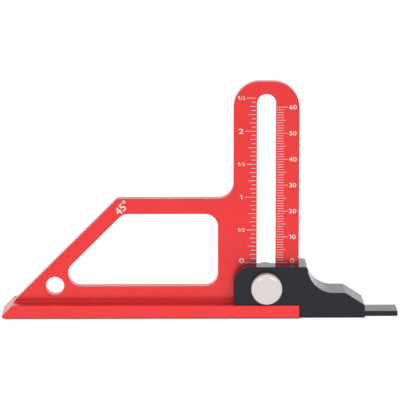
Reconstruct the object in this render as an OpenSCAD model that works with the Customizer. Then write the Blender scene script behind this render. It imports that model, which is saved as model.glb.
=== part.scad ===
// Table saw height gauge: a one-piece frame with a mitre edge, and a height block that slides
// on the frame's column and is locked by a thumb screw through the column's slot.
// Origin on the table, under the clamp screw, at mid plate. +X runs to the tongue, +Z up.

/* [Frame] */
// Length of the base, from its tip to the column's right side
base_len = 113.6; // [104:0.1:140]
// Depth of the base, front to back
base_w = 20; // [18:0.5:30]
// Thickness of the base
base_h = 5; // [4:0.5:6]
// Bevel along the base's long edges
base_bevel = 0.2; // [0.1:0.1:1]
// Thickness of the upright plate
plate_t = 5; // [4.5:0.5:7]
// Radius of the inner corner between plate and base
root_r = 0.4; // [0.3:0.1:1]
// Height of the column's top above the table
column_h = 90; // [85:1:120]
// Width of the column
column_w = 25; // [22:0.2:32]
// Radius of the column's top corners
column_r = 10; // [4:0.5:10.5]
// Height of the arm's top edge above the table
arm_h = 45; // [38:1:60]
// Radius of the inner corner between arm and column
arm_r = 6; // [3:0.5:12]
// Angle of the mitre edge to the base
mitre_angle = 45; // [40:1:60]
// Height of the tip, and of the bevel under it
tip_h = 0.8; // [0.5:0.1:2]
// Width of the arm above the window
arm_w = 5.9; // [4:0.1:8]
// Width of the rail under the window
rail_w = 6; // [4.5:0.1:8]
// Width of the rail along the mitre edge
slant_w = 5.7; // [4.5:0.1:8]
// Width of the plate between window and column
side_w = 5.9; // [4.5:0.1:8]
// Radius of the window's corners
window_r = 5; // [2:0.5:6]
// Diameter of the hanging hole
hang_d = 7; // [4:0.5:9]
// Metal between the hanging hole and the mitre edge
hang_edge = 3.5; // [3:0.1:6]
// Metal between the hanging hole and the base
hang_rise = 2.7; // [2:0.1:6]
// Least metal between the hanging hole and the window
hang_wall = 2; // [1:0.1:3]

/* [Slot] */
// Width of the column's slot
slot_w = 7.3; // [6.8:0.1:9]
// Metal above the slot
slot_top = 4.8; // [3:0.1:8]
// Room under the key at the zero position
slot_end_gap = 0.3; // [0.2:0.1:1]

/* [Slider] */
// Height of the reading edge above the table at zero
slider_h = 19.7; // [19:0.1:26]
// Setback of the slider's faces from the base's faces
slider_setback = 1; // [0:0.1:2]
// Running gap between slider and frame
slide_gap = 0.1; // [0.08:0.01:0.3]
// Depth of the key in the slot
key_depth = 2; // [1:0.1:2.2]
// Gap between the key and each side of the slot
key_gap = 0.06; // [0.03:0.01:0.1]
// Radius of the slider's upper left corner
upper_r = 6; // [1:0.1:7]
// Radius of the slider's lower left corner
lower_r = 1.4; // [0.5:0.1:2]
// Slider top past the column's side
shoulder_len = 3.2; // [1:0.1:8]
// Height of the nose's level land
land_h = 9.7; // [8:0.1:12]
// Length of the nose's level land
land_len = 4.4; // [3:0.1:10]
// Length of the nose's slope
slope_len = 7.5; // [4:0.1:12]
// Height of the nose's end
nose_h = 4.9; // [3.5:0.1:7]
// Length of the tongue past the nose
tongue_len = 12.7; // [6:0.1:30]
// Width of the tongue
tongue_w = 12; // [6:0.5:15]
// Thickness of the tongue
tongue_t = 2; // [1:0.1:3]

/* [Clamp] */
// Diameter of the screw
screw_d = 5; // [4:0.1:5.4]
// Radial clearance of the screw in the slider and washers
screw_gap = 0.15; // [0.1:0.05:0.25]
// Radial clearance of the screw in the nut
thread_gap = 0.05; // [0.02:0.01:0.1]
// Bevel at the screw's free end
screw_bevel = 0.5; // [0.2:0.1:1]
// Screw past the nut
screw_tail = 0.3; // [0:0.1:2]
// Diameter of the knob
knob_d = 11.8; // [11.4:0.1:14]
// Height of the knob
knob_h = 4.4; // [3.5:0.1:8]
// Bevel around the knob's face
knob_bevel = 1.1; // [0.4:0.1:1.4]
// Depth of the screw's socket in the knob
knob_socket = 2.5; // [1:0.1:3]
// Radial play of the pressed screw in its socket
socket_gap = 0.01; // [0.01:0.01:0.03]
// Number of grooves around the knob
knurl_count = 64; // [24:1:80]
// Depth of the grooves around the knob
knurl_depth = 0.2; // [0.1:0.05:0.3]
// Gap between the knob and the slider's face
knob_gap = 0.1; // [0.05:0.05:0.4]
// Diameter of the washers under the knob
washer_d = 9.6; // [8:0.1:10]
// Thickness of the flat washer
washer_t = 1; // [0.5:0.1:1.5]
// Thickness of the spring washer
spring_t = 1.2; // [0.8:0.1:1.5]
// Width of the spring washer's split
spring_split = 0.8; // [0.5:0.1:1.5]
// Room around the washers in the slider
washer_gap = 0.3; // [0.2:0.05:0.5]
// Diameter of the nut behind the column
nut_d = 11.8; // [11.6:0.1:14]
// Thickness of the nut's body
nut_h = 9; // [3:0.1:12]
// Bevel around the nut's body
nut_bevel = 0.4; // [0.2:0.1:1]
// Gap between the nut and the base's top
nut_lift = 0.9; // [0.3:0.1:1.2]
// Depth of the nut's tang in the slot
tang_depth = 1.9; // [1:0.1:2]
// Height of the tang's flats above the screw
tang_h = 2; // [1:0.1:2.5]
// Thickness of the friction ring
ring_t = 0.5; // [0.3:0.1:1]
// Gap between the friction ring and the tang
ring_gap = 0.3; // [0.2:0.05:0.5]
// Setback of the friction ring from the nut's rim
ring_inset = 0.2; // [0:0.1:0.6]

/* [Scale] */
// Range of the millimetre scale
mm_range = 60; // [20:1:60]
// Range of the inch scale, in sixteenths
inch_range = 40; // [16:1:40]
// Zero line above the slider's top edge
zero_lift = 0.55; // [0.15:0.05:0.8]
// Width of a line
line_w = 0.15; // [0.1:0.01:0.4]
// Thickness of the ink
ink_t = 0.04; // [0.02:0.01:0.05]
// Gap between the slot and the lines
line_gap = 0.4; // [0.2:0.05:1]
// Length of a 1 mm line
mm_line = 2.5; // [1:0.1:4]
// Added length for each longer kind of millimetre line
mm_step = 0.8; // [0.3:0.05:0.9]
// Length of a 1/16 inch line
inch_line = 1.6; // [1:0.1:2]
// Added length for each longer kind of inch line
inch_step = 0.65; // [0.3:0.05:0.9]

/* [Hidden] */
$fn = 96;
over = 1;
bite = 0.002;
inch = 25.4;

x_right = column_w / 2;
x_left = -column_w / 2;
x_end = x_right - base_len;
arm_left = mitre_x(arm_h);
plate_front = -plate_t / 2;
plate_back = plate_t / 2;

window_low = base_h + rail_w;
window_high = arm_h - arm_w;
window_right = x_left - side_w;
slant_x = slant_w / sin(mitre_angle);
hang_z = base_h + hang_rise + hang_d / 2;
hang_x = mitre_x(hang_z) + (hang_edge + hang_d / 2) / sin(mitre_angle);

screw_z = base_h + nut_lift + nut_d / 2;
slot_low = screw_z - slot_end_gap;
slot_high = column_h - slot_top - slot_w / 2;

slider_w = base_w - 2 * slider_setback;
slider_front = -slider_w / 2;
slider_back = plate_front - slide_gap;
nose_left = x_right + slide_gap;
cove_left = x_right + shoulder_len;
cove_r = slider_h - land_h;
land_left = cove_left + cove_r;
land_right = land_left + land_len;
nose_right = land_right + slope_len;
key_r = slot_w / 2 - key_gap;
key_back = plate_front + key_depth;
root_relief = root_r + slide_gap;

knob_back = slider_front - knob_gap;
spring_back = knob_back + spring_t;
washer_back = spring_back + washer_t;
ring_back = plate_back + ring_t;
nut_back = ring_back + nut_h;
screw_hole_d = screw_d + 2 * screw_gap;
ring_hole_r = norm([key_r, tang_h]) + ring_gap;

zero_z = slider_h + zero_lift;

function mitre_x(z) = x_end + (z - tip_h) / tan(mitre_angle);
function unit(v) = v / norm(v);

// Sizes of the lines: one more step for each of these divisions that the line falls on
function steps(i, divisions) = len([for (d = divisions) if (i % d == 0) d]);

// Space between a corner and the arc that rounds it, for cutting or filling it. The arc reaches a
// hair past both sides, by the bite, so that it crosses them cleanly.
module corner_space(corner, side_a, side_b, r) {
    a = unit(side_a);
    b = unit(side_b);
    middle = unit(a + b);
    half = acos(a * b) / 2;
    centre = corner + middle * (r - bite) / sin(half);
    touch_a = corner + a * (r - bite) / tan(half);
    touch_b = corner + b * (r - bite) / tan(half);
    difference() {
        polygon([
            centre,
            touch_a + unit(touch_a - centre) * over,
            corner - middle * over / sin(half),
            touch_b + unit(touch_b - centre) * over
        ]);
        translate(centre) circle(r);
    }
}

// Stands a shape drawn in X and Z upright, between two depths
module along_y(from, to) {
    translate([0, to, 0]) rotate([90, 0, 0]) linear_extrude(to - from) children();
}

// Runs a shape drawn in Y and Z along the length
module along_x(from, to) {
    translate([from, 0, 0]) rotate([90, 0, 90]) linear_extrude(to - from) children();
}

// Round bar or hole on the clamp screw's axis
module on_screw(d, from, to) {
    translate([0, from, screw_z]) rotate([-90, 0, 0]) cylinder(d = d, h = to - from);
}

// Round slot end with straight sides, as far up as a given height
module slot_shape(r, low, high) {
    translate([0, low]) circle(r);
    translate([-r, low]) square([2 * r, high - low]);
}

module tee_section() {
    w = base_w / 2;
    b = base_bevel;
    p = plate_t / 2;
    half = [
        [w - b, 0], [w, b], [w, base_h - b], [w - b, base_h],
        [p + root_r, base_h], [p, base_h + root_r], [p, column_h + over]
    ];
    difference() {
        polygon(concat(half, [for (i = [len(half) - 1:-1:0]) [-half[i].x, half[i].y]]));
        for (side = [-1, 1]) translate([side * (p + root_r), base_h + root_r]) circle(root_r);
    }
}

module frame_outline() {
    difference() {
        union() {
            polygon([
                [x_end + tip_h, 0], [x_right, 0], [x_right, column_h], [x_left, column_h],
                [x_left, arm_h], [arm_left, arm_h], [x_end, tip_h]
            ]);
            corner_space([x_left, arm_h], [-1, 0], [0, 1], arm_r);
        }
        corner_space([x_left, column_h], [1, 0], [0, -1], column_r);
        corner_space([x_right, column_h], [-1, 0], [0, -1], column_r);
    }
}

module window_outline() {
    slant = [cos(mitre_angle), sin(mitre_angle)];
    low_left = [mitre_x(window_low) + slant_x, window_low];
    low_right = [window_right, window_low];
    high_right = [window_right, window_high];
    high_left = [mitre_x(window_high) + slant_x, window_high];
    difference() {
        polygon([low_left, low_right, high_right, high_left]);
        corner_space(low_left, [1, 0], slant, window_r);
        corner_space(low_right, [-1, 0], [0, 1], window_r);
        corner_space(high_right, [-1, 0], [0, -1], window_r);
        corner_space(high_left, [1, 0], -slant, window_r);
        translate([hang_x, hang_z]) circle(d = hang_d + 2 * hang_wall);
    }
}

module frame() {
    color("#e9363b") difference() {
        intersection() {
            along_x(x_end - over, x_right + over) tee_section();
            along_y(-base_w, base_w) frame_outline();
        }
        along_y(-plate_t, plate_t) window_outline();
        along_y(-plate_t, plate_t) slot_shape(slot_w / 2, slot_low, slot_high);
        along_y(-plate_t, plate_t) translate([0, slot_high]) circle(slot_w / 2);
        translate([hang_x, -plate_t, hang_z]) rotate([-90, 0, 0]) cylinder(d = hang_d, h = 2 * plate_t);
    }
}

// One line of ink at a height, running away from the slot to one side
module scale_line(side, z, length) {
    near = slot_w / 2 + line_gap;
    translate([side > 0 ? near : -near - length, z - line_w / 2]) square([length, line_w]);
}

// Ink on the column's front, where the column is
module on_column() {
    along_y(plate_front - ink_t, plate_front) intersection() {
        frame_outline();
        children();
    }
}

module mm_scale() {
    color("white") on_column() for (i = [0:mm_range])
        scale_line(1, zero_z + i, mm_line + mm_step * steps(i, [5, 10]));
}

module inch_scale() {
    color("white") on_column() for (i = [0:inch_range])
        scale_line(-1, zero_z + i * inch / 16, inch_line + inch_step * steps(i, [2, 4, 8, 16]));
}

module slider_outline() {
    difference() {
        union() {
            polygon([
                [x_left, base_h], [nose_left, base_h], [nose_left, 0], [nose_right, 0],
                [nose_right, nose_h], [land_right, land_h], [cove_left, land_h],
                [cove_left, slider_h], [x_left, slider_h]
            ]);
            corner_space([cove_left, land_h], [0, 1], [1, 0], cove_r);
        }
        corner_space([x_left, slider_h], [1, 0], [0, -1], upper_r);
        corner_space([x_left, base_h], [1, 0], [0, 1], lower_r);
    }
}

module slider() {
    color("#36353b") difference() {
        union() {
            difference() {
                along_y(slider_front, -slider_front) slider_outline();
                translate([x_left - over, slider_back, -over])
                    cube([nose_left - x_left + over, slider_w, slider_h + 2 * over]);
            }
            along_y(slider_back - over, key_back) slot_shape(key_r, screw_z, slider_h);
            translate([nose_right - over, -tongue_w / 2, 0]) cube([tongue_len + over, tongue_w, tongue_t]);
        }
        on_screw(screw_hole_d, slider_front - over, key_back + over);
        on_screw(washer_d + 2 * washer_gap, slider_front - over, washer_back);
        along_x(x_left - over, nose_left) polygon([
            [slider_back + over, base_h - over],
            [slider_back - root_relief - over, base_h - over],
            [slider_back + over, base_h + root_relief + over]
        ]);
    }
}

module thumb_knob() {
    r = knob_d / 2;
    color("#d9d3d0") difference() {
        translate([0, knob_back, screw_z]) rotate([90, 0, 0]) difference() {
            rotate_extrude() polygon([
                [0, 0], [r, 0], [r, knob_h - knob_bevel], [r - knob_bevel, knob_h], [0, knob_h]
            ]);
            for (i = [1:knurl_count]) rotate(i * 360 / knurl_count) translate([0, 0, -over])
                linear_extrude(knob_h + 2 * over) polygon([
                    [r - knurl_depth, 0], [r + knurl_depth, -2 * knurl_depth], [r + knurl_depth, 2 * knurl_depth]
                ]);
        }
        on_screw(screw_d + 2 * socket_gap, knob_back - knob_socket, knob_back + over);
    }
}

module clamp_screw() {
    r = screw_d / 2;
    length = knob_socket + nut_back + screw_tail - knob_back;
    color("silver") translate([0, knob_back - knob_socket, screw_z]) rotate([-90, 0, 0]) rotate_extrude()
        polygon([[0, 0], [r, 0], [r, length - screw_bevel], [r - screw_bevel, length], [0, length]]);
}

module spring_washer() {
    color("dimgray") difference() {
        on_screw(washer_d, knob_back, spring_back);
        on_screw(screw_hole_d, knob_back - over, spring_back + over);
        translate([-spring_split / 2, knob_back - over, screw_z]) cube([spring_split, spring_t + 2 * over, washer_d]);
    }
}

module flat_washer() {
    color("ivory") difference() {
        on_screw(washer_d, spring_back, washer_back);
        on_screw(screw_hole_d, spring_back - over, washer_back + over);
    }
}

module clamp_nut() {
    r = nut_d / 2;
    b = nut_bevel;
    color("#36353b") difference() {
        union() {
            translate([0, ring_back, screw_z]) rotate([-90, 0, 0]) rotate_extrude()
                polygon([[0, 0], [r - b, 0], [r, b], [r, nut_h - b], [r - b, nut_h], [0, nut_h]]);
            along_y(plate_back - tang_depth, ring_back + over) slot_shape(key_r, screw_z, screw_z + tang_h);
        }
        on_screw(screw_d + 2 * thread_gap, plate_back - tang_depth - over, nut_back + over);
    }
}

module friction_ring() {
    color("tan") difference() {
        on_screw(nut_d - 2 * (nut_bevel + ring_inset), plate_back, ring_back);
        on_screw(2 * ring_hole_r, plate_back - over, ring_back + over);
    }
}

frame();
mm_scale();
inch_scale();
slider();
thumb_knob();
clamp_screw();
spring_washer();
flat_washer();
clamp_nut();
friction_ring();
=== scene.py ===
import math

import bmesh
import bpy
from mathutils import Matrix, Vector


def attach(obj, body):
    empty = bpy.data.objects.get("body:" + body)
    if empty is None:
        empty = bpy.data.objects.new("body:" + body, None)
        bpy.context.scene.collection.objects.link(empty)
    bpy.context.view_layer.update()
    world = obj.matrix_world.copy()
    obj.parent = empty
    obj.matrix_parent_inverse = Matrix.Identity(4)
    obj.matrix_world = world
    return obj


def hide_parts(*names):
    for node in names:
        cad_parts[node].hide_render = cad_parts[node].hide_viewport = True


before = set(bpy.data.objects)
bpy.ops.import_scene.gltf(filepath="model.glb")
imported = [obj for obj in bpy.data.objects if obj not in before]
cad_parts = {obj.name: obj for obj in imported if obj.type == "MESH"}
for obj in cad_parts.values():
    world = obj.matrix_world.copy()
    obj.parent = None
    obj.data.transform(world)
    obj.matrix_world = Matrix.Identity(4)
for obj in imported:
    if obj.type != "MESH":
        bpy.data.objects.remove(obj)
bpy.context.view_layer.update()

mm = 0.001
screwUp = 11.8  # height of the clamp screw's axis, mm
scene = bpy.context.scene


# mesh tools, all sizes in mm and all turns in degrees

def addPiece(name, data):
    piece = bpy.data.objects.new(name, data)
    scene.collection.objects.link(piece)
    return piece


def meshFrom(bm, name):
    bmesh.ops.recalc_face_normals(bm, faces=bm.faces)
    mesh = bpy.data.meshes.new(name)
    bm.to_mesh(mesh)
    bm.free()
    return mesh


def joinRings(bm, here, there):
    for k in range(len(here)):
        n = (k + 1) % len(here)
        bm.faces.new((here[k], here[n], there[n], there[k]))


def capRings(bm, rings):
    bm.faces.new(rings[0])
    bm.faces.new(rings[-1])


# points about a centre, the short way round, at most turn apart
def arcBetween(centre, start, end, turn):
    first = math.atan2(start.y - centre.y, start.x - centre.x)
    sweep = math.atan2(end.y - centre.y, end.x - centre.x) - first
    sweep = (sweep + math.pi) % (2 * math.pi) - math.pi
    steps = max(2, math.ceil(abs(math.degrees(sweep)) / turn))
    radius = (start - centre).length
    angles = [first + sweep * i / steps for i in range(steps + 1)]
    return [centre + radius * Vector((math.cos(a), math.sin(a))) for a in angles]


# corners are (across, up, radius), and each radius becomes an arc
def roundOutline(corners, turn):
    outline = []
    for i, (across, up, radius) in enumerate(corners):
        corner = Vector((across, up))
        if not radius:
            outline.append(corner)
            continue
        before = (Vector(corners[i - 1][:2]) - corner).normalized()
        after = (Vector(corners[(i + 1) % len(corners)][:2]) - corner).normalized()
        half = before.angle(after) / 2
        centre = corner + (before + after).normalized() * radius / math.sin(half)
        reach = radius / math.tan(half)
        outline += arcBetween(centre, corner + before * reach, corner + after * reach, turn)
    return outline


def circleOutline(across, up, radius, sides):
    angles = [2 * math.pi * i / sides for i in range(sides)]
    return [Vector((across + radius * math.cos(a), up + radius * math.sin(a))) for a in angles]


# a half round below, with straight sides up to the top
def keyOutline(half, up, top, turn):
    centre, lowest = Vector((0, up)), Vector((0, up - half))
    outline = arcBetween(centre, Vector((-half, up)), lowest, turn)[:-1]
    outline += arcBetween(centre, lowest, Vector((half, up)), turn)
    return outline + [Vector((half, top)), Vector((-half, top))]


# a shape drawn across and up, run along y or x
def prism(name, outline, low, high, along="y"):
    bm = bmesh.new()
    rings = []
    for t in (low, high):
        spots = [(t, u, v) if along == "x" else (u, t, v) for u, v in outline]
        rings.append([bm.verts.new(Vector(spot) * mm) for spot in spots])
    capRings(bm, rings)
    joinRings(bm, *rings)
    return addPiece(name, meshFrom(bm, name))


# a profile of (y, radius) turned about the clamp screw's axis
# reachAt(y, radius, angle) gives the radius where it changes round the turn
def turned(name, profile, sides, reachAt=None, ring=False):
    bm = bmesh.new()
    rings = []
    for y, radius in profile:
        spots = []
        for k in range(sides):
            angle = 2 * math.pi * k / sides
            reach = reachAt(y, radius, angle) if reachAt else radius
            spot = Vector((reach * math.cos(angle), y, screwUp + reach * math.sin(angle)))
            spots.append(bm.verts.new(spot * mm))
        rings.append(spots)
    for here, there in zip(rings, rings[1:]):
        joinRings(bm, here, there)
    if ring:
        joinRings(bm, rings[-1], rings[0])
    else:
        capRings(bm, rings)
    return addPiece(name, meshFrom(bm, name))


def meshOf(piece):
    graph = bpy.context.evaluated_depsgraph_get()
    return bpy.data.meshes.new_from_object(piece.evaluated_get(graph))


def carve(piece, tool, operation="DIFFERENCE"):
    cut = piece.modifiers.new("cut", "BOOLEAN")
    cut.operation = operation
    cut.solver = "EXACT"
    cut.object = tool
    mesh = meshOf(piece)
    piece.modifiers.clear()
    piece.data = mesh
    bpy.data.objects.remove(tool)


edgeRules = {"joinWithin": 0.002, "flatWithin": 0.5, "sharpFrom": 32, "flatWeight": 100}


# joins doubled points and flat neighbours, then rounds every sharp edge
def softenEdges(piece, width, steps=3):
    bm = bmesh.new()
    bm.from_mesh(piece.data)
    bmesh.ops.remove_doubles(bm, verts=bm.verts, dist=edgeRules["joinWithin"] * mm)
    flat = math.radians(edgeRules["flatWithin"])
    bmesh.ops.dissolve_limit(bm, angle_limit=flat, verts=bm.verts, edges=bm.edges)
    bm.to_mesh(piece.data)
    bm.free()
    piece.data.shade_smooth()
    bevel = piece.modifiers.new("edges", "BEVEL")
    bevel.width = width * mm
    bevel.segments = steps
    bevel.limit_method = "ANGLE"
    bevel.angle_limit = math.radians(edgeRules["sharpFrom"])
    bevel.use_clamp_overlap = False
    bevel.loop_slide = False
    shading = piece.modifiers.new("shading", "WEIGHTED_NORMAL")
    shading.weight = edgeRules["flatWeight"]
    shading.keep_sharp = False


# node tools

def addNode(tree, kind, links=None, **settings):
    node = tree.nodes.new(kind)
    for key, value in settings.items():
        setattr(node, key, value)
    for key, value in (links or {}).items():
        socket = node.inputs[key]
        if isinstance(value, bpy.types.NodeSocket):
            tree.links.new(value, socket)
        else:
            socket.default_value = value
    return node


def mathNode(tree, operation, *values):
    return addNode(tree, "ShaderNodeMath", dict(enumerate(values)), operation=operation).outputs["Value"]


def vectorNode(tree, operation, *values):
    node = addNode(tree, "ShaderNodeVectorMath", dict(enumerate(values)), operation=operation)
    return node.outputs["Value" if operation in ("LENGTH", "DOT_PRODUCT") else "Vector"]


def rangeNode(tree, value, fromMin=0, fromMax=1, toMin=0, toMax=1):
    return addNode(tree, "ShaderNodeMapRange", {
        "Value": value, "From Min": fromMin, "From Max": fromMax,
        "To Min": toMin, "To Max": toMax}).outputs["Result"]


def noiseNode(tree, place, scale, detail, roughness=0.5):
    return addNode(tree, "ShaderNodeTexNoise", {
        "Vector": place, "Scale": scale, "Detail": detail, "Roughness": roughness}).outputs["Fac"]


def objectPlace(tree):
    return addNode(tree, "ShaderNodeTexCoord").outputs["Object"]


def splitPlace(tree, place):
    return addNode(tree, "ShaderNodeSeparateXYZ", {"Vector": place}).outputs


# a mix node has its numbers in sockets 2 and 3 and its colours in 6 and 7
def mixNumber(tree, share, low, high):
    return addNode(tree, "ShaderNodeMix", {0: share, 2: low, 3: high}).outputs[0]


def mixColour(tree, share, low, high):
    mix = addNode(tree, "ShaderNodeMix", {0: share}, data_type="RGBA")
    for socket, value in ((mix.inputs[6], low), (mix.inputs[7], high)):
        if isinstance(value, bpy.types.NodeSocket):
            tree.links.new(value, socket)
        else:
            socket.default_value = (*value, 1)
    return mix.outputs[2]


# effects that several materials share

def newGroup(name, inputs, outputs):
    tree = bpy.data.node_groups.new(name, "ShaderNodeTree")
    for label, value in inputs.items():
        socket = tree.interface.new_socket(name=label, in_out="INPUT", socket_type="NodeSocketFloat")
        socket.default_value = value
    for label in outputs:
        tree.interface.new_socket(name=label, in_out="OUTPUT", socket_type="NodeSocketFloat")
    return tree, addNode(tree, "NodeGroupInput").outputs, addNode(tree, "NodeGroupOutput").inputs


def placeGroup(tree, group, values):
    return addNode(tree, "ShaderNodeGroup", values, node_tree=group).outputs


def makeBlastedGrain():
    tree, given, result = newGroup(
        "blastedGrain", {"Scale": 4000, "Tone Scale": 1600, "Cloud Scale": 60}, ("Tone", "Cloud", "Height"))
    place = objectPlace(tree)
    tone = noiseNode(tree, place, given["Tone Scale"], detail=3, roughness=0.6)
    cloud = noiseNode(tree, place, given["Cloud Scale"], detail=3, roughness=0.55)
    tree.links.new(tone, result["Tone"])
    tree.links.new(cloud, result["Cloud"])
    fine = noiseNode(tree, place, given["Scale"], detail=2, roughness=0.6)
    pits = addNode(tree, "ShaderNodeTexVoronoi", {"Vector": place, "Scale": given["Scale"]})
    tree.links.new(mathNode(tree, "MULTIPLY", fine, pits.outputs["Distance"]), result["Height"])
    return tree


def makeEdgeWear():
    tree, given, result = newGroup(
        "edgeWear", {"Radius": 0.25 * mm, "Break Up": 900, "Start": 0.02, "Full": 0.2}, ("Mask",))
    rounded = addNode(tree, "ShaderNodeBevel", {"Radius": given["Radius"]}, samples=4).outputs["Normal"]
    facing = addNode(tree, "ShaderNodeNewGeometry").outputs["True Normal"]
    bend = mathNode(tree, "SUBTRACT", 1.0, vectorNode(tree, "DOT_PRODUCT", rounded, facing))
    edge = rangeNode(tree, bend, given["Start"], given["Full"])
    patch = noiseNode(tree, objectPlace(tree), given["Break Up"], detail=2)
    tree.links.new(mathNode(tree, "MULTIPLY", edge, patch), result["Mask"])
    return tree


# rings left by turning, about the clamp screw's axis
def makeTurnedRings():
    tree, given, result = newGroup("turnedRings", {"Rings": 4000, "Axis Up": screwUp * mm}, ("Tone",))
    part = splitPlace(tree, objectPlace(tree))
    up = mathNode(tree, "SUBTRACT", part["Z"], given["Axis Up"])
    flat = addNode(tree, "ShaderNodeCombineXYZ", {"X": part["X"], "Y": up}).outputs["Vector"]
    reach = vectorNode(tree, "LENGTH", flat)
    along = addNode(tree, "ShaderNodeCombineXYZ", {"X": reach, "Y": part["Y"]}).outputs["Vector"]
    tree.links.new(noiseNode(tree, along, given["Rings"], detail=2), result["Tone"])
    return tree


# painted shade: a dark line where a piece stands on the table, standing in for its contact shadow
def makeFootLine():
    tree, given, result = newGroup("paintedFootShade", {"Height": 0.45 * mm, "Amount": 1}, ("Mask",))
    up = splitPlace(tree, objectPlace(tree))["Z"]
    tree.links.new(rangeNode(tree, up, 0, given["Height"], given["Amount"], 0), result["Mask"])
    return tree


blastedGrain = makeBlastedGrain()
edgeWear = makeEdgeWear()
turnedRings = makeTurnedRings()
paintedFootShade = makeFootLine()


# material tools

def newMaterial(name):
    material = bpy.data.materials.new(name)
    material.use_nodes = True
    tree = material.node_tree
    return material, tree, tree.nodes["Principled BSDF"]


noiseMiddle = (0.3, 0.7)  # most of a noise lies between these


def spread(tree, noise, low, high):
    return rangeNode(tree, noise, *noiseMiddle, low, high)


def wireShader(tree, shader, skin, gloss, height, bump, bumpDeep):
    lump = addNode(tree, "ShaderNodeBump", {"Height": height, "Strength": bump, "Distance": bumpDeep * mm})
    tree.links.new(skin, shader.inputs["Base Color"])
    tree.links.new(gloss, shader.inputs["Roughness"])
    tree.links.new(lump.outputs["Normal"], shader.inputs["Normal"])


# anodised aluminium: two tones of grain, a cloudy sheen, paler edges and a painted shadow along the foot
def makeAnodised(name, look):
    material, tree, shader = newMaterial(name)
    grain = placeGroup(tree, blastedGrain, {
        "Scale": look["grain"], "Tone Scale": look["tone"], "Cloud Scale": look["cloud"]})
    wear = placeGroup(tree, edgeWear, {"Radius": look["edge"] * mm})
    # painted shade: the foot mask darkens the colour near the bottom edge, standing in for the contact
    # shadow on the table
    foot = placeGroup(tree, paintedFootShade, {"Height": look["footUp"] * mm, "Amount": look["paintedShadeAmount"]})
    skin = mixColour(tree, spread(tree, grain["Tone"], 0, 1), look["deep"], look["bright"])
    skin = mixColour(tree, mathNode(tree, "MULTIPLY", wear["Mask"], look["wear"]), skin, look["worn"])
    skin = mixColour(tree, foot["Mask"], skin, look["paintedShadeColour"])
    gloss = spread(tree, grain["Cloud"], *look["gloss"])
    wireShader(tree, shader, skin, gloss, grain["Height"], look["bump"], look["bumpDeep"])
    shader.inputs["IOR"].default_value = look["bend"]
    return material


# in both looks below, the foot colour and amount set the painted contact shadow along the piece's bottom
# edge
redAnodised = makeAnodised("redAnodised", {
    "deep": (0.82, 0.0085, 0.0115), "bright": (0.985, 0.0155, 0.0195), "worn": (0.95, 0.09, 0.09),
    "wear": 0.2, "edge": 0.3, "gloss": (0.20, 0.27), "bend": 1.61,
    "grain": 3500, "tone": 1500, "cloud": 70, "bump": 0.25, "bumpDeep": 0.02,
    "paintedShadeColour": (0.16, 0.004, 0.006), "footUp": 0.45, "paintedShadeAmount": 1.0})
blackAnodised = makeAnodised("blackAnodised", {
    "deep": (0.003, 0.003, 0.010), "bright": (0.006, 0.006, 0.015), "worn": (0.02, 0.02, 0.025),
    "wear": 0.3, "edge": 0.3, "gloss": (0.15, 0.22), "bend": 1.41,
    "grain": 3500, "tone": 1500, "cloud": 70, "bump": 0.25, "bumpDeep": 0.02,
    "paintedShadeColour": (0.003, 0.003, 0.004), "footUp": 0.3, "paintedShadeAmount": 0.5})


# plated, bare or blackened metal with fine turning rings and paler edges
def makeTurnedMetal(name, look):
    material, tree, shader = newMaterial(name)
    rings = placeGroup(tree, turnedRings, {"Rings": look["rings"]})["Tone"]
    wear = placeGroup(tree, edgeWear, {"Radius": look["edge"] * mm})
    skin = mixColour(tree, spread(tree, rings, 0, 1), look["deep"], look["bright"])
    skin = mixColour(tree, mathNode(tree, "MULTIPLY", wear["Mask"], look["wear"]), skin, look["worn"])
    gloss = spread(tree, rings, *look["gloss"])
    wireShader(tree, shader, skin, gloss, rings, look["bump"], look["bumpDeep"])
    shader.inputs["Metallic"].default_value = look["metal"]
    return material


nickelPlate = makeTurnedMetal("nickelPlate", {
    "deep": (0.69, 0.64, 0.615), "bright": (0.73, 0.68, 0.655), "worn": (0.92, 0.91, 0.90),
    "wear": 0.7, "edge": 0.15, "gloss": (0.12, 0.16), "metal": 1.0,
    "rings": 2500, "bump": 0.03, "bumpDeep": 0.01})
knurledPlate = makeTurnedMetal("knurledPlate", {
    "deep": (0.68, 0.65, 0.63), "bright": (0.76, 0.73, 0.71), "worn": (0.92, 0.91, 0.90),
    "wear": 0.5, "edge": 0.15, "gloss": (0.42, 0.52), "metal": 0.1,
    "rings": 2500, "bump": 0.1, "bumpDeep": 0.01})
# a smoother copy of the nickel for the knob's bevel, lighter in colour as a painted highlight on the rim
paintedHighlightPlate = makeTurnedMetal("paintedHighlightPlate", {
    "deep": (0.71, 0.665, 0.64), "bright": (0.76, 0.715, 0.69), "worn": (0.95, 0.94, 0.93),
    "wear": 0.6, "edge": 0.15, "gloss": (0.10, 0.14), "metal": 1.0,
    "rings": 2500, "bump": 0.03, "bumpDeep": 0.01})
zincSteel = makeTurnedMetal("zincSteel", {
    "deep": (0.50, 0.50, 0.52), "bright": (0.62, 0.62, 0.64), "worn": (0.75, 0.75, 0.76),
    "wear": 0.4, "edge": 0.15, "gloss": (0.28, 0.38), "metal": 1.0,
    "rings": 3000, "bump": 0.1, "bumpDeep": 0.01})
springSteel = makeTurnedMetal("springSteel", {
    "deep": (0.16, 0.16, 0.17), "bright": (0.24, 0.24, 0.25), "worn": (0.5, 0.5, 0.5),
    "wear": 0.5, "edge": 0.15, "gloss": (0.3, 0.42), "metal": 1.0,
    "rings": 2000, "bump": 0.15, "bumpDeep": 0.01})
turnedBlack = makeTurnedMetal("turnedBlack", {
    "deep": (0.003, 0.003, 0.004), "bright": (0.007, 0.007, 0.008), "worn": (0.06, 0.06, 0.065),
    "wear": 0.4, "edge": 0.15, "gloss": (0.25, 0.36), "metal": 0.0,
    "rings": 2500, "bump": 0.25, "bumpDeep": 0.01})


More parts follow.
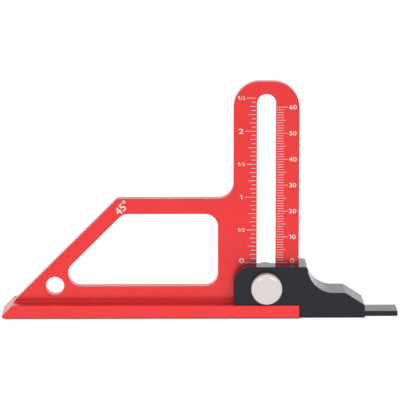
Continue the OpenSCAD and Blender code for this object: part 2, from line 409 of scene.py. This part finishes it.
# ink, nylon and fibre: matt, with a mottle
def makeMatt(name, look):
    material, tree, shader = newMaterial(name)
    grain = placeGroup(tree, blastedGrain, {
        "Scale": look["grain"], "Tone Scale": look["grain"], "Cloud Scale": look["cloud"]})
    skin = mixColour(tree, spread(tree, grain["Cloud"], 0, 1), look["deep"], look["bright"])
    gloss = spread(tree, grain["Tone"], *look["gloss"])
    wireShader(tree, shader, skin, gloss, grain["Height"], look["bump"], look["bumpDeep"])
    return material


whiteInk = makeMatt("whiteInk", {
    "deep": (0.90, 0.89, 0.88), "bright": (0.97, 0.96, 0.95), "gloss": (0.45, 0.6),
    "grain": 6000, "cloud": 900, "bump": 0.1, "bumpDeep": 0.02})
naturalNylon = makeMatt("naturalNylon", {
    "deep": (0.70, 0.68, 0.60), "bright": (0.78, 0.76, 0.69), "gloss": (0.4, 0.5),
    "grain": 2500, "cloud": 300, "bump": 0.1, "bumpDeep": 0.02})
redFibre = makeMatt("redFibre", {
    "deep": (0.26, 0.10, 0.05), "bright": (0.34, 0.15, 0.08), "gloss": (0.6, 0.75),
    "grain": 1500, "cloud": 400, "bump": 0.3, "bumpDeep": 0.02})
print("materials made")


def dress(piece, material):
    piece.data.materials.clear()
    piece.data.materials.append(material)


def finishPiece(piece, material, body, slot, *nodes):
    dress(piece, material)
    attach(piece, body)
    if nodes:
        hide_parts(*nodes)


# frame: one tee section, cut to the outline, then opened
# a turn is the step along an arc, and spare is how far a cutter reaches past what it cuts
frameBody = {
    "left": -101.1, "right": 12.5, "tipUp": 0.8, "columnLeft": -12.5, "top": 90, "topRadius": 10,
    "armTop": 45, "armRadius": 6, "baseHalf": 10, "baseTop": 5, "baseEdge": 0.3,
    "plateHalf": 2.5, "root": 0.4, "edge": 0.26,
    "window": ((-82.839, 11, 5), (-18.4, 11, 5), (-18.4, 39.1, 5), (-54.739, 39.1, 5)),
    "hole": (-80.8, 11.2, 3.5), "holeSides": 96, "slotHalf": 3.65, "slotLow": 11.5, "slotHigh": 81.55,
    "teeTurn": 12, "outlineTurn": 3, "windowTurn": 4, "slotTurn": 5, "spare": 5, "sideSpare": 2,
}


def slotOutline(half, low, high, turn):
    bend = half - 0.0001  # short of the half width, so that no two points meet
    return roundOutline(((-half, low - half, bend), (half, low - half, bend),
                         (half, high + half, bend), (-half, high + half, bend)), turn)


def makeFrame(look):
    half, top, edge = look["baseHalf"], look["baseTop"], look["baseEdge"]
    plate, root, spare, sideSpare = look["plateHalf"], look["root"], look["spare"], look["sideSpare"]
    tall = look["top"] + spare
    tee = roundOutline((
        (half, 0, edge), (half, top, edge), (plate, top, root), (plate, tall, 0),
        (-plate, tall, 0), (-plate, top, root), (-half, top, edge), (-half, 0, edge)), look["teeTurn"])
    piece = prism("frameBody", tee, look["left"] - spare, look["right"] + spare, "x")
    tip, tipUp, right, armTop = look["left"], look["tipUp"], look["right"], look["armTop"]
    outline = roundOutline((
        (tip + tipUp + sideSpare, -sideSpare, 0), (right, -sideSpare, 0),
        (right, look["top"], look["topRadius"]), (look["columnLeft"], look["top"], look["topRadius"]),
        (look["columnLeft"], armTop, look["armRadius"]),
        (tip + armTop - tipUp, armTop, 0), (tip, tipUp, 0)), look["outlineTurn"])
    carve(piece, prism("outline", outline, -half - sideSpare, half + sideSpare), "INTERSECT")
    slot = slotOutline(look["slotHalf"], look["slotLow"], look["slotHigh"], look["slotTurn"])
    through = 2 * plate
    carve(piece, prism("window", roundOutline(look["window"], look["windowTurn"]), -through, through))
    carve(piece, prism("slot", slot, -through, through))
    carve(piece, prism("hole", circleOutline(*look["hole"], look["holeSides"]), -through, through))
    softenEdges(piece, look["edge"])
    return piece


frameMesh = makeFrame(frameBody)
finishPiece(frameMesh, redAnodised, "frame", "frame", "frame")
print("frame body made")

# slider: its side profile, cut away behind the front plate, with key, tongue and bores
sliderBlock = {
    "left": -12.5, "nose": 12.6, "end": 37.6, "tip": 50.3, "top": 19.7, "land": 9.7, "noseTop": 4.9,
    "foot": 5, "coveLeft": 15.7, "coveRadius": 10, "shoulder": 1.2, "slopeLeft": 30.1, "slopeRadius": 3,
    "endRadius": 1, "upperRadius": 6, "lowerRadius": 1.4,
    "half": 9, "back": -2.6, "relief": 0.5, "edge": 0.16,
    "keyHalf": 3.59, "keyBack": -0.5, "keySink": 1, "tongueHalf": 6, "tongueTop": 2, "tongueSink": 2,
    "bore": 2.65, "boreSides": 64, "washerBore": 5.1, "washerSides": 96, "washerBack": -6.9,
    "turn": 5, "coveTurn": 3, "shoulderTurn": 10, "heelTurn": 6, "spare": 3, "heelSpare": 1,
}


def sliderProfile(look):
    radius, bend, top = look["coveRadius"], look["shoulder"], look["top"]
    coveCentre = Vector((look["coveLeft"] + radius, top))
    bendCentre = Vector((coveCentre.x - math.sqrt(radius ** 2 + 2 * radius * bend), top - bend))
    touch = coveCentre + (bendCentre - coveCentre).normalized() * radius
    cove = arcBetween(coveCentre, coveCentre - Vector((0, radius)), touch, look["coveTurn"])
    cove += arcBetween(bendCentre, touch, bendCentre + Vector((0, bend)), look["shoulderTurn"])[1:]
    corners = [(look["left"], 0, 0), (look["end"], 0, 0), (look["end"], look["noseTop"], look["endRadius"]),
               (look["slopeLeft"], look["land"], look["slopeRadius"])]
    corners += [(spot.x, spot.y, 0) for spot in cove]
    corners += [(look["left"], top, look["upperRadius"])]
    return roundOutline(corners, look["turn"])


# the rounded lower corner at the slider's left end, as what is cut off
def heelOutline(look):
    left, foot, bend, spare = look["left"], look["foot"], look["lowerRadius"], look["heelSpare"]
    centre = Vector((left + bend, foot + bend))
    outline = arcBetween(centre, Vector((left + bend, foot)), Vector((left, foot + bend)), look["heelTurn"])
    return outline + [Vector(spot) for spot in (
        (left - spare, foot + bend), (left - spare, foot - spare), (left + bend, foot - spare))]


def makeSlider(look):
    half, back, foot, relief, spare = (look[k] for k in ("half", "back", "foot", "relief", "spare"))
    piece = prism("sliderBlock", sliderProfile(look), -half, half)
    far, high = half + spare, look["top"] + spare
    behind = [Vector(spot) for spot in (
        (-far, -spare), (far, -spare), (far, high), (back, high),
        (back, foot + relief), (back - relief, foot), (-far, foot))]
    carve(piece, prism("behind", behind, look["left"] - spare, look["nose"], "x"))
    carve(piece, prism("heel", heelOutline(look), -far, far))
    key = keyOutline(look["keyHalf"], screwUp, look["top"], look["turn"])
    carve(piece, prism("key", key, back - look["keySink"], look["keyBack"]), "UNION")
    side, up = look["tongueHalf"], look["tongueTop"]
    tongue = [Vector(spot) for spot in ((-side, 0), (side, 0), (side, up), (-side, up))]
    carve(piece, prism("tongue", tongue, look["end"] - look["tongueSink"], look["tip"], "x"), "UNION")
    bore = circleOutline(0, screwUp, look["bore"], look["boreSides"])
    carve(piece, prism("bore", bore, -far, far))
    washerBore = circleOutline(0, screwUp, look["washerBore"], look["washerSides"])
    carve(piece, prism("washerBore", washerBore, -far, look["washerBack"]))
    softenEdges(piece, look["edge"])
    return piece


sliderMesh = makeSlider(sliderBlock)
finishPiece(sliderMesh, blackAnodised, "slider", "slider", "slider")
print("slider made")

# knob: a disc with a knurled side and a shallow bevel
thumbKnob = {
    "radius": 5.9, "back": -9.1, "front": -13.5, "bevel": 1.1, "bevelDeep": 0.7, "round": 0.12,
    "grooves": 64, "grooveDepth": 0.2, "perGroove": 10,
    "bore": 2.5, "boreSides": 48, "boreFront": -11.6, "boreSpare": 2,
    "sideFacing": 0.6, "bevelFacing": 0.99,
}


def makeKnob(look):
    radius, front, back, soft = look["radius"], look["front"], look["back"], look["round"]
    rim, face = front + look["bevelDeep"], radius - look["bevel"]
    # every edge is rounded in a few steps
    profile = [
        (back, radius - 2 * soft), (back - soft, radius - soft / 3), (back - 2 * soft, radius),
        (rim + soft, radius), (rim + soft / 3, radius - soft / 10), (rim - soft / 2, radius - soft / 2),
        (rim - soft, radius - soft), (front + soft, face + soft), (front + soft / 2, face + soft / 2),
        (front + soft / 8, face), (front, face - soft)]
    turn, deep = 2 * math.pi / look["grooves"], look["grooveDepth"]

    def reachAt(y, reach, angle):
        off = abs((angle + turn / 2) % turn - turn / 2) * radius
        return min(reach, radius - deep * max(0, 1 - off / deep))

    piece = turned("thumbKnob", profile, look["grooves"] * look["perGroove"], reachAt)
    bore = circleOutline(0, screwUp, look["bore"], look["boreSides"])
    carve(piece, prism("bore", bore, look["boreFront"], back + look["boreSpare"]))
    return piece


knobMesh = makeKnob(thumbKnob)
knobMesh.data.shade_smooth()
finishPiece(knobMesh, nickelPlate, "knob", "knob", "thumb_knob")
knobMesh.data.materials.append(knurledPlate)
# the bevel faces get the lighter copy of the nickel, a painted highlight on the rim
knobMesh.data.materials.append(paintedHighlightPlate)
flatSlot, knurlSlot, bevelSlot = range(3)
for face in knobMesh.data.polygons:
    facing = abs(face.normal.y)
    if facing < thumbKnob["sideFacing"]:
        face.material_index = knurlSlot
    else:
        face.material_index = bevelSlot if facing < thumbKnob["bevelFacing"] else flatSlot
print("knob made")

# screw: plain where it sits in the knob, then threaded
clampScrew = {
    "radius": 2.5, "start": -11.6, "thread": -1.0, "end": 12.3, "bevel": 0.5, "pitch": 0.8, "depth": 0.43,
    "steep": 1.25, "crest": 0.1, "perPitch": 8, "sides": 48,
}


def makeScrew(look):
    radius, thread, end, pitch = look["radius"], look["thread"], look["end"], look["pitch"]
    step = pitch / look["perPitch"]
    stations = [look["start"]]
    y = thread
    while y < end - step / 10:  # no station just before the end
        stations.append(y)
        y += step
    stations.append(end)

    def reachAt(y, reach, angle):
        wave = abs(((y - thread) / pitch - angle / (2 * math.pi)) % 1 - 0.5) * 2
        cut = max(0, min(1, look["steep"] * wave - look["crest"])) if y > thread else 0
        return min(reach - look["depth"] * cut, reach - max(0, look["bevel"] - (end - y)))

    return turned("clampScrew", [(y, radius) for y in stations], look["sides"], reachAt)


screwMesh = makeScrew(clampScrew)
screwMesh.data.shade_smooth()
finishPiece(screwMesh, zincSteel, "knob", "screw", "clamp_screw")

# nut: round, with a tang that runs in the column's slot
clampNut = {
    "radius": 5.9, "front": 3.0, "back": 12.0, "bevel": 0.4, "bore": 2.55, "sink": 0.4, "sides": 128,
    "tangFront": 0.6, "tangSink": 0.5, "tangHalf": 3.59, "tangUp": 2, "tangTurn": 5, "boreSpare": 2,
    "edge": 0.12, "edgeSteps": 2,
}


def makeNut(look):
    radius, bevel, bore, sink = look["radius"], look["bevel"], look["bore"], look["sink"]
    front, back = look["front"], look["back"]
    profile = [(front, bore), (front, radius - bevel), (front + bevel, radius), (back - bevel, radius),
               (back, radius - bevel), (back, bore + sink), (back - sink, bore)]
    piece = turned("clampNut", profile, look["sides"], ring=True)
    shape = keyOutline(look["tangHalf"], screwUp, screwUp + look["tangUp"], look["tangTurn"])
    tang = prism("tang", shape, look["tangFront"], front + look["tangSink"])
    hole = circleOutline(0, screwUp, bore, look["sides"])
    carve(tang, prism("bore", hole, 0, front + look["boreSpare"]))
    carve(piece, tang, "UNION")
    softenEdges(piece, look["edge"], look["edgeSteps"])
    return piece


nutMesh = makeNut(clampNut)
finishPiece(nutMesh, turnedBlack, "nut", "nut", "clamp_nut")
print("screw and nut made")

# pieces shown with the CAD's own shapes
keptNodes = {
    "spring_washer": springSteel, "flat_washer": naturalNylon, "friction_ring": redFibre,
    "mm_scale": whiteInk, "inch_scale": whiteInk,
}
for node, material in keptNodes.items():
    dress(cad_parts[node], material)
print("washers, ring and scales dressed")

# figures of the two scales and the mitre angle, as thin ink on the plate's front
figures = {
    "face": -frameBody["plateHalf"], "ink": 0.04, "zero": 20.25, "space": 0.07, "afterOne": 0.06,
    "curveSteps": 8, "joinWithin": 0.0005,
    "one": ((0.17, 0), (0.285, 0), (0.285, 0.7), (0.19, 0.7), (0, 0.59), (0, 0.475), (0.17, 0.57)),
}
zeroFigures = {"x": (-9.35, 9.95), "lift": 0.75, "height": 1.75, "stretch": 1.6, "weight": 0.0}
mmFigures = {"x": 10.0, "height": 1.68, "stretch": 1.24, "weight": 0.006, "labels": (10, 20, 30, 40, 50, 60)}
inchFigures = {
    1: {"x": -9.65, "height": 1.82, "stretch": 1.1, "weight": 0.012},
    2: {"x": -9.7, "height": 1.85, "stretch": 1.55, "weight": 0.012},
}
halfFigures = {"x": -9.55, "height": 1.32, "stretch": 1.28, "weight": 0.0}
halfInches = {"step": 12.7, "count": 5}
angleFigure = {"at": (-55.2, 41.5), "height": 3.2, "stretch": 1.02, "weight": 0.004, "turn": 45}


# one sign, an em high at most and 1 thick; the figure 1 has its own outline, with a flag
def drawSign(sign, weight):
    halfThick = 0.5
    if sign == "1":
        bm = bmesh.new()
        rings = [[bm.verts.new((x, y, z)) for x, y in figures["one"]] for z in (-halfThick, halfThick)]
        capRings(bm, rings)
        joinRings(bm, *rings)
        return meshFrom(bm, "sign")
    curve = bpy.data.curves.new("sign", "FONT")
    curve.body = sign
    curve.size = 1
    curve.offset = weight
    curve.resolution_u = figures["curveSteps"]
    curve.fill_mode = "BOTH"
    curve.extrude = halfThick
    holder = addPiece("sign", curve)
    mesh = meshOf(holder)
    bpy.data.objects.remove(holder)
    return mesh


def meshBox(mesh):
    spots = [v.co for v in mesh.vertices]
    return [Vector(side(s[i] for s in spots) for i in range(3)) for side in (min, max)]


def drawFigure(text, across, up, look):
    bm = bmesh.new()
    pen = 0
    for sign in text:
        mesh = drawSign(sign, look["weight"])
        low, high = meshBox(mesh)
        mesh.transform(Matrix.Translation((pen - low.x, 0, 0)))
        pen += high.x - low.x + figures["space"] + (figures["afterOne"] if sign == "1" else 0)
        bm.from_mesh(mesh)
        bpy.data.meshes.remove(mesh)
    mesh = meshFrom(bm, "figure")
    low, high = meshBox(mesh)
    middle, scale = (low + high) / 2, look["height"] / (high.y - low.y)
    size = Matrix.Diagonal((scale * look["stretch"], scale, figures["ink"], 1))
    place = Matrix.Translation(Vector((across, figures["face"] - figures["ink"] / 2, up)) * mm)
    upright = Matrix.Rotation(math.radians(90), 4, "X")
    tilt = Matrix.Rotation(math.radians(look.get("turn", 0)), 4, "Z")
    mesh.transform(place @ Matrix.Scale(mm, 4) @ upright @ tilt @ size @ Matrix.Translation(-middle))
    return mesh


def joinFigures(name, meshes):
    bm = bmesh.new()
    for mesh in meshes:
        bm.from_mesh(mesh)
        bpy.data.meshes.remove(mesh)
    bmesh.ops.remove_doubles(bm, verts=bm.verts, dist=figures["joinWithin"] * mm)
    piece = addPiece(name, meshFrom(bm, name))
    finishPiece(piece, whiteInk, "frame", "ink")


zero = figures["zero"]
inchMeshes, mmMeshes = (
    [drawFigure("0", x, zero + zeroFigures["lift"], zeroFigures)] for x in zeroFigures["x"])
for label in mmFigures["labels"]:
    mmMeshes.append(drawFigure(str(label), mmFigures["x"], zero + label, mmFigures))
joinFigures("mmFigures", mmMeshes)
for halves in range(1, halfInches["count"] + 1):
    inches, half = divmod(halves, 2)
    text, look = ("1/2", halfFigures) if half else (str(inches), inchFigures[inches])
    inchMeshes.append(drawFigure(text, look["x"], zero + halves * halfInches["step"], look))
joinFigures("inchFigures", inchMeshes)
joinFigures("angleFigure", [drawFigure("45\u00b0", *angleFigure["at"], angleFigure)])
print("figures made")

# stage: pale floor that keeps a soft shadow and has a painted shadow round the object's foot, white
# surroundings, soft boxes at the front, and the camera
white = (1, 1, 1, 1)
paleFloor = {
    "size": 8, "drop": -0.05, "glow": 0.945, "catch": 0.16,
    "bounceNear": 0.76, "bounceFar": 0.33, "nearReach": 0.04, "farReach": 0.3,
    "feet": ((frameBody["left"], frameBody["right"], frameBody["baseHalf"]),
             (frameBody["right"], sliderBlock["end"], sliderBlock["half"]),
             (sliderBlock["end"], sliderBlock["tip"], sliderBlock["tongueHalf"])),
    "footShade": 0.15, "footReach": 0.8,
    "contact": (-99, frameBody["right"], frameBody["baseHalf"]), "contactShade": 0.35, "contactReach": 1.3,
}


def emptyTree(owner):
    owner.use_nodes = True
    owner.node_tree.nodes.clear()
    return owner.node_tree


# distance on the floor from a rectangle that the object stands on, given as (left, right, half depth)
def footGap(tree, place, foot):
    left, right, half = (side * mm for side in foot)
    off = vectorNode(tree, "SUBTRACT", place, ((left + right) / 2, 0, 0))
    off = vectorNode(tree, "ABSOLUTE", off)
    off = vectorNode(tree, "SUBTRACT", off, ((right - left) / 2, half, 0))
    return vectorNode(tree, "LENGTH", vectorNode(tree, "MAXIMUM", off, (0, 0, 0)))


# the floor's glow: what the camera sees, what lights the object, and a painted shadow that darkens it close
# to its foot
def floorLevel(tree, look):
    place = objectPlace(tree)
    glow = look["glow"]
    clear = None
    for foot in look["feet"]:
        # painted shadow: the glow dims near each foot, and for the camera near the frame's base
        shade = rangeNode(tree, footGap(tree, place, foot), 0, look["footReach"] * mm, look["footShade"], 1)
        clear = mathNode(tree, "MINIMUM", clear, shade) if clear else shade
    seen = rangeNode(tree, footGap(tree, place, look["contact"]), 0, look["contactReach"] * mm,
                     glow * look["contactShade"], glow)
    bounce = rangeNode(tree, vectorNode(tree, "LENGTH", place), look["nearReach"], look["farReach"],
                       look["bounceNear"], look["bounceFar"])
    path = addNode(tree, "ShaderNodeLightPath").outputs
    lit = mixNumber(tree, path["Is Diffuse Ray"], glow, bounce)
    return mixNumber(tree, path["Is Camera Ray"], mathNode(tree, "MULTIPLY", lit, clear), seen)


def makeFloor(look):
    bm = bmesh.new()
    bmesh.ops.create_grid(bm, x_segments=1, y_segments=1, size=look["size"] / 2)
    floor = addPiece("floor", meshFrom(bm, "floor"))
    floor.location.z = look["drop"] * mm
    material = bpy.data.materials.new("paleFloor")
    material.cycles.emission_sampling = "NONE"
    tree = emptyTree(material)
    matt = addNode(tree, "ShaderNodeBsdfDiffuse", {"Color": (look["catch"],) * 3 + (1,)})
    glow = addNode(tree, "ShaderNodeEmission", {"Color": white, "Strength": floorLevel(tree, look)})
    both = addNode(tree, "ShaderNodeAddShader", {0: matt.outputs[0], 1: glow.outputs[0]})
    addNode(tree, "ShaderNodeOutputMaterial", {"Surface": both.outputs[0]})
    dress(floor, material)
    floor.visible_shadow = False


whiteRoom = {"front": 0.05, "back": 1.0, "turn": 0.3, "seen": 1.0}


# 1 for rays that show a thing directly, in a mirror or through glass
def seenRays(tree):
    path = addNode(tree, "ShaderNodeLightPath").outputs
    mirrored = mathNode(tree, "MAXIMUM", path["Is Glossy Ray"], path["Is Transmission Ray"])
    return mathNode(tree, "MAXIMUM", path["Is Camera Ray"], mirrored)


def makeSurroundings(look):
    world = bpy.data.worlds.new("whiteRoom")
    scene.world = world
    world.cycles.sampling_method = "NONE"
    tree = emptyTree(world)
    way = splitPlace(tree, addNode(tree, "ShaderNodeTexCoord").outputs["Generated"])
    sky = rangeNode(tree, way["Y"], -look["turn"], look["turn"], look["front"], look["back"])
    level = mixNumber(tree, seenRays(tree), sky, look["seen"])
    room = addNode(tree, "ShaderNodeBackground", {"Color": white, "Strength": level})
    addNode(tree, "ShaderNodeOutputWorld", {"Surface": room.outputs[0]})


# glow is the brightness of a box's face; the table box stands for light thrown up by the table
boxAim = (-0.02, 0, 0.03)
softBoxes = {
    "leftBox": {"place": (-0.53, -1.26, 0.665), "wide": 0.5, "tall": 0.35, "glow": 6.0, "mirrored": True},
    "rightBox": {"place": (0.49, -1.26, 0.665), "wide": 0.5, "tall": 0.35, "glow": 6.0, "mirrored": True},
    "tableBox": {"place": (-0.17, -1.16, -0.335), "wide": 1.0, "tall": 0.28, "glow": 6.3, "mirrored": False},
}


def makeBox(name, look):
    lamp = bpy.data.lights.new(name, "AREA")
    lamp.shape = "RECTANGLE"
    lamp.size, lamp.size_y = look["wide"], look["tall"]
    lamp.energy = look["glow"] * math.pi * look["wide"] * look["tall"]
    box = addPiece(name, lamp)
    box.location = look["place"]
    box.rotation_euler = (Vector(boxAim) - Vector(look["place"])).to_track_quat("-Z", "Y").to_euler()
    box.visible_camera = False
    box.visible_glossy = look["mirrored"]


photoCamera = {
    "place": (-0.03398, -1.08785, 0.23295), "down": 9.846, "pan": -0.459, "lens": 260.16, "sensor": 36,
}


def makeCamera(look):
    camera = bpy.data.cameras.new("photoCamera")
    camera.lens = look["lens"]
    camera.sensor_width = look["sensor"]
    holder = addPiece("photoCamera", camera)
    holder.location = look["place"]
    holder.rotation_euler = (math.radians(90 - look["down"]), 0, math.radians(look["pan"]))
    scene.camera = holder


makeFloor(paleFloor)
makeSurroundings(whiteRoom)
for name, look in softBoxes.items():
    makeBox(name, look)
makeCamera(photoCamera)
scene.view_settings.view_transform = "Standard"
print("stage set")
